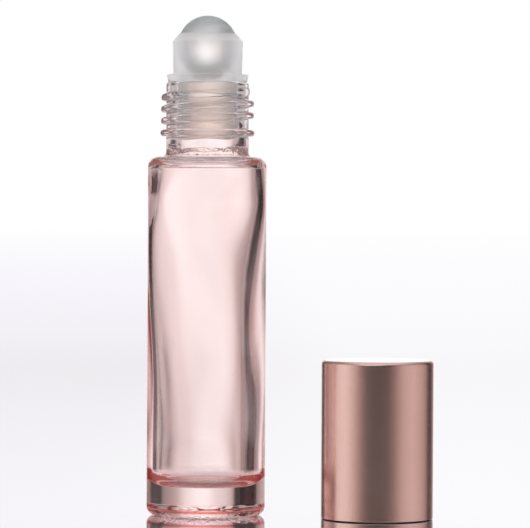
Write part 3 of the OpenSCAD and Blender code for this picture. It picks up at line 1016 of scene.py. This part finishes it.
# Rises between which the bands turn into the ceiling, and the ceiling's tone by its rise
CEILING_START = (0.36, 0.62)
CEILING = ((0, (0.3, 0.29, 0.29)), (0.65, (0.3, 0.29, 0.29)), (0.92, 0.8), (1, 0.8))
# Share of the brightest that matt surfaces and cloudy insides get from every side
STUDIO_EVEN = 0.9
# How much brighter the studio is to light that has gone through more surfaces than this
DEEP_SURFACES = 5.5
DEEP_LIFT = 1.6
# Between none and one, and between two and three, for counts along a ray
SOME = 0.5
TWO_AT_MOST = 2.5


def studio_world():
    """White to the camera and to the floor's own reflection. To the object, a soft studio by direction.

    The direction is the angle from +Y, positive towards +X: a white backdrop behind the object that falls
    off to its sides, dark cards beside it, a soft box on each side, and darkness behind the camera. High up
    it all turns into an even pale ceiling. A ray is the floor's reflection when it has been thrown back once
    and has passed the clear sheet over the floor. Rays that have gone through glass and never touched the
    floor see a grey tone over the cards, and a brighter studio after many surfaces."""
    world = bpy.data.worlds.new("studio")
    tree = empty_tree(world)
    x, y, z = parts(tree, add_node(tree, "TexCoord").outputs["Generated"])
    ray = add_node(tree, "LightPath").outputs
    turn = mapped(tree, reckoned(tree, "ARCTAN2", x, y), -pi, pi)
    around = banded(tree, turn, [((at + 180) / 360, warmed(level / STUDIO_TOP)) for at, level in STUDIO])
    sheet = reckoned(tree, "GREATER_THAN", ray["Transparent Depth"], SOME)
    glassy = reckoned(tree, "GREATER_THAN", ray["Transmission Depth"], SOME)
    direct = reckoned(tree, "GREATER_THAN", glassy, sheet)
    above = reckoned(tree, "MULTIPLY", mapped(tree, z, *CARDS_TOP), mapped(tree, z, *CARDS_OVER, ALL_TO_NONE))
    above = reckoned(tree, "MULTIPLY", above, direct)
    around = mixed(tree, above, around, CARDS_ABOVE, blend_type="LIGHTEN")
    dome = mixed(tree, mapped(tree, z, *CEILING_START), around, banded(tree, z, CEILING))
    spread = reckoned(tree, "GREATER_THAN", ray["Diffuse Depth"], SOME)
    even = mixed(tree, spread, dome, (STUDIO_EVEN,) * 3)
    deep = reckoned(tree, "GREATER_THAN", ray["Transmission Depth"], DEEP_SURFACES)
    deep = reckoned(tree, "MULTIPLY", deep, direct)
    level = mapped(tree, deep, to=(STUDIO_TOP, STUDIO_TOP * DEEP_LIFT))
    studio = add_node(tree, "Background", {"Color": even, "Strength": level})
    white = add_node(tree, "Background", {"Color": WHITE, "Strength": 1.0})
    once = reckoned(tree, "LESS_THAN", ray["Ray Depth"], TWO_AT_MOST)
    seen = reckoned(tree, "MAXIMUM", reckoned(tree, "MULTIPLY", once, sheet), ray["Is Camera Ray"])
    blended(tree, seen, studio, white, "OutputWorld")
    bpy.context.scene.world = world


def warmed(level):
    """A grey that turns warm as it gets dark."""
    return tuple(level * (tone + (1 - tone) * min(1.0, level)) for tone in STUDIO_DARK)


# Share of mirror in the floor, from straight above to along it
FLOOR_GLOSS = ((0, 0.04), (0.5, 0.1), (0.741, 0.6), (0.916, 0.97), (0.96, 0.99), (1, 1))
# Painted shade of the floor's mirror by distance from the object, as a share of the furthest one
FLOOR_REACH = 6.2
FLOOR_PAINTED_SHADE = (
    (0, (0.93, 0.914, 0.956)), (0.016, (0.91, 0.896, 0.93)), (0.036, (0.89, 0.875, 0.91)),
    (0.064, (0.868, 0.847, 0.88)), (0.085, (0.858, 0.835, 0.872)), (0.139, (0.896, 0.88, 0.925)),
    (0.246, (0.93, 0.914, 0.965)), (0.537, (0.965, 0.957, 0.985)), (1, WHITE))
# Run along X over which that painted shade weakens to what it is on the cap's side, and the floor's matt tone
TONE_RUN, TONE_SHARE = (-0.03, 0.04), (1.0, 0.45)
FLOOR_MATT = (0.9, 0.89, 0.92)
# How far the floor and the clear sheet over it lie under the object
FLOOR_DROP, SHEET_DROP = 0.01 * MM, 0.005 * MM


def floor_material():
    """Pale polished acrylic: matt from above, and a mirror to a flat glance.

    What the camera sees of its mirror carries painted shade: a faint cool darkening, which is deepest half a
    metre from the object and fainter on the cap's side."""
    material, tree = new_material("pale_floor")
    where = object_place(tree)
    away = add_node(tree, "VectorMath", {0: where}, operation="LENGTH").outputs["Value"]
    # Painted shade on the floor's mirror, seen only by the camera
    tone = banded(tree, reckoned(tree, "DIVIDE", away, FLOOR_REACH), FLOOR_PAINTED_SHADE)
    seen = reckoned(tree, "MULTIPLY", mapped(tree, parts(tree, where)["X"], *TONE_RUN, TONE_SHARE),
                    add_node(tree, "LightPath").outputs["Is Camera Ray"])
    matt = add_node(tree, "BsdfDiffuse", {"Color": FLOOR_MATT})
    mirror = add_node(tree, "BsdfAnisotropic", {"Color": mixed(tree, seen, WHITE, tone), "Roughness": 0.0})
    blended(tree, banded(tree, slant(tree), FLOOR_GLOSS), matt, mirror)
    return material


def sheet_material():
    """Perfectly clear: it only marks the rays that come from the floor."""
    material, tree = new_material("clear_sheet")
    clear = add_node(tree, "BsdfTransparent")
    add_node(tree, "OutputMaterial", {"Surface": clear.outputs["BSDF"]})
    return material


def add_floor(size):
    """A plain flat floor, just under the object, with a clear sheet between."""
    s = size.floor_size
    plates = ("floor", FLOOR_DROP, floor_material()), ("sheet", SHEET_DROP, sheet_material())
    for name, drop, material in plates:
        mesh = bpy.data.meshes.new(name)
        mesh.from_pydata([(-s, -s, -drop), (s, -s, -drop), (s, s, -drop), (-s, s, -drop)], [], [(0, 1, 2, 3)])
        mesh.materials.append(material)
        plate = add_object(mesh)


# Place, side in metres and power in watts of the lamp
LAMP_PLACE = (-0.3, -1.0, 1.1)
LAMP_SIZE = 1.2
LAMP_POWER = 2.5


def add_fill():
    """A broad soft lamp from above and in front, for matt surfaces: mirrors and glass show the studio."""
    lamp_data = bpy.data.lights.new("fill", "AREA")
    lamp_data.shape = "SQUARE"
    lamp_data.size = LAMP_SIZE
    lamp_data.energy = LAMP_POWER
    lamp = add_object(lamp_data)
    lamp.location = LAMP_PLACE
    lamp.rotation_euler = Vector(LAMP_PLACE).to_track_quat("Z", "Y").to_euler()
    lamp.visible_camera = False
    lamp.visible_glossy = False
    lamp.visible_transmission = False


# Width of the picture in pixels and of the sensor in millimetres, and the nearest and furthest in view
PICTURE_W = 530
SENSOR_W = 36
CLIP_NEAR, CLIP_FAR = 0.01, 50


def add_camera(size):
    """A long lens in front of the bottle, a little above its middle, as in the photograph.

    The horizon's place in the picture gives the pitch: atan(pixels above the middle / focal length)."""
    camera_data = bpy.data.cameras.new("camera")
    camera_data.sensor_width = SENSOR_W
    camera_data.lens = size.focal_px / PICTURE_W * SENSOR_W
    camera_data.clip_start = CLIP_NEAR
    camera_data.clip_end = CLIP_FAR
    camera = add_object(camera_data)
    camera.location = (size.camera_x, -size.distance, size.camera_h)
    pitch = atan(size.horizon_px / size.focal_px)
    look = Euler((pi / 2 - pitch, 0, 0)).to_matrix().to_4x4()
    camera.matrix_world = Matrix.Translation(camera.location) @ look @ Matrix.Rotation(size.roll, 4, "Z")
    bpy.context.scene.camera = camera


# Operators

class ROLLON_OT_glass_bottle(bpy.types.Operator):
    """Build the glass bottle with its threaded neck"""
    bl_idname = "rollon.glass_bottle"
    bl_label = "Glass bottle"

    def execute(self, context):
        size = context.scene.roll_on
        mesh = bottle_mesh(size.glass, size.thread)
        place_piece(mesh, glass_material(size.finish), "glass_bottle", "bottle")
        return {"FINISHED"}


class ROLLON_OT_roller_housing(bpy.types.Operator):
    """Build the moulded housing that plugs into the neck and holds the ball"""
    bl_idname = "rollon.roller_housing"
    bl_label = "Roller housing"

    def execute(self, context):
        size = context.scene.roll_on
        mesh = housing_mesh(size.roller, size.glass)
        place_piece(mesh, housing_material(size.finish), "roller_housing", "insert")
        return {"FINISHED"}


class ROLLON_OT_roller_ball(bpy.types.Operator):
    """Build the roller ball"""
    bl_idname = "rollon.roller_ball"
    bl_label = "Roller ball"

    def execute(self, context):
        size = context.scene.roll_on
        mesh = ball_mesh(size.roller)
        place_piece(mesh, ball_material(size.finish), "roller_ball", "ball")
        return {"FINISHED"}


class ROLLON_OT_cap(bpy.types.Operator):
    """Build the cap's metal shell and its moulded liner"""
    bl_idname = "rollon.cap"
    bl_label = "Cap"

    def execute(self, context):
        size = context.scene.roll_on
        shell = shell_mesh(size.cap)
        place_piece(shell, metal_material(size.finish), "cap_shell", "cap")
        liner = liner_mesh(size.cap, size.thread)
        place_piece(liner, liner_material(size.finish), "cap_liner", "cap")
        return {"FINISHED"}


class ROLLON_OT_stage(bpy.types.Operator):
    """Set up the floor, the studio light and the camera"""
    bl_idname = "rollon.stage"
    bl_label = "Stage"

    def execute(self, context):
        size = context.scene.roll_on.stage
        add_floor(size)
        studio_world()
        add_fill()
        add_camera(size)
        context.scene.view_settings.view_transform = "Standard"
        return {"FINISHED"}


class ROLLON_PT_panel(bpy.types.Panel):
    """Lists the pieces and their sizes"""
    bl_idname = "ROLLON_PT_panel"
    bl_label = "Roll-on bottle"
    bl_space_type = "VIEW_3D"
    bl_region_type = "UI"
    bl_category = "Roll-on"

    def draw(self, context):
        settings = context.scene.roll_on
        for operator in OPERATORS:
            self.layout.operator(operator.bl_idname)
        for group in RollOnSettings.__annotations__:
            box = self.layout.box()
            box.label(text=group.capitalize())
            values = getattr(settings, group)
            for name in values.__annotations__:
                box.prop(values, name)


SETTINGS = (GlassSizes, ThreadSizes, RollerSizes, CapSizes, Finishes, StageSizes, RollOnSettings)
OPERATORS = (
    ROLLON_OT_glass_bottle, ROLLON_OT_roller_housing, ROLLON_OT_roller_ball, ROLLON_OT_cap, ROLLON_OT_stage)
CLASSES = (*SETTINGS, *OPERATORS, ROLLON_PT_panel)


def register():
    for kind in CLASSES:
        bpy.utils.register_class(kind)
    bpy.types.Scene.roll_on = PointerProperty(type=RollOnSettings)


def unregister():
    del bpy.types.Scene.roll_on
    for kind in reversed(CLASSES):
        bpy.utils.unregister_class(kind)


def main():
    register()
    bpy.ops.rollon.glass_bottle()
    bpy.ops.rollon.roller_housing()
    bpy.ops.rollon.roller_ball()
    bpy.ops.rollon.cap()
    bpy.ops.rollon.stage()


if __name__ == "__main__":
    main()
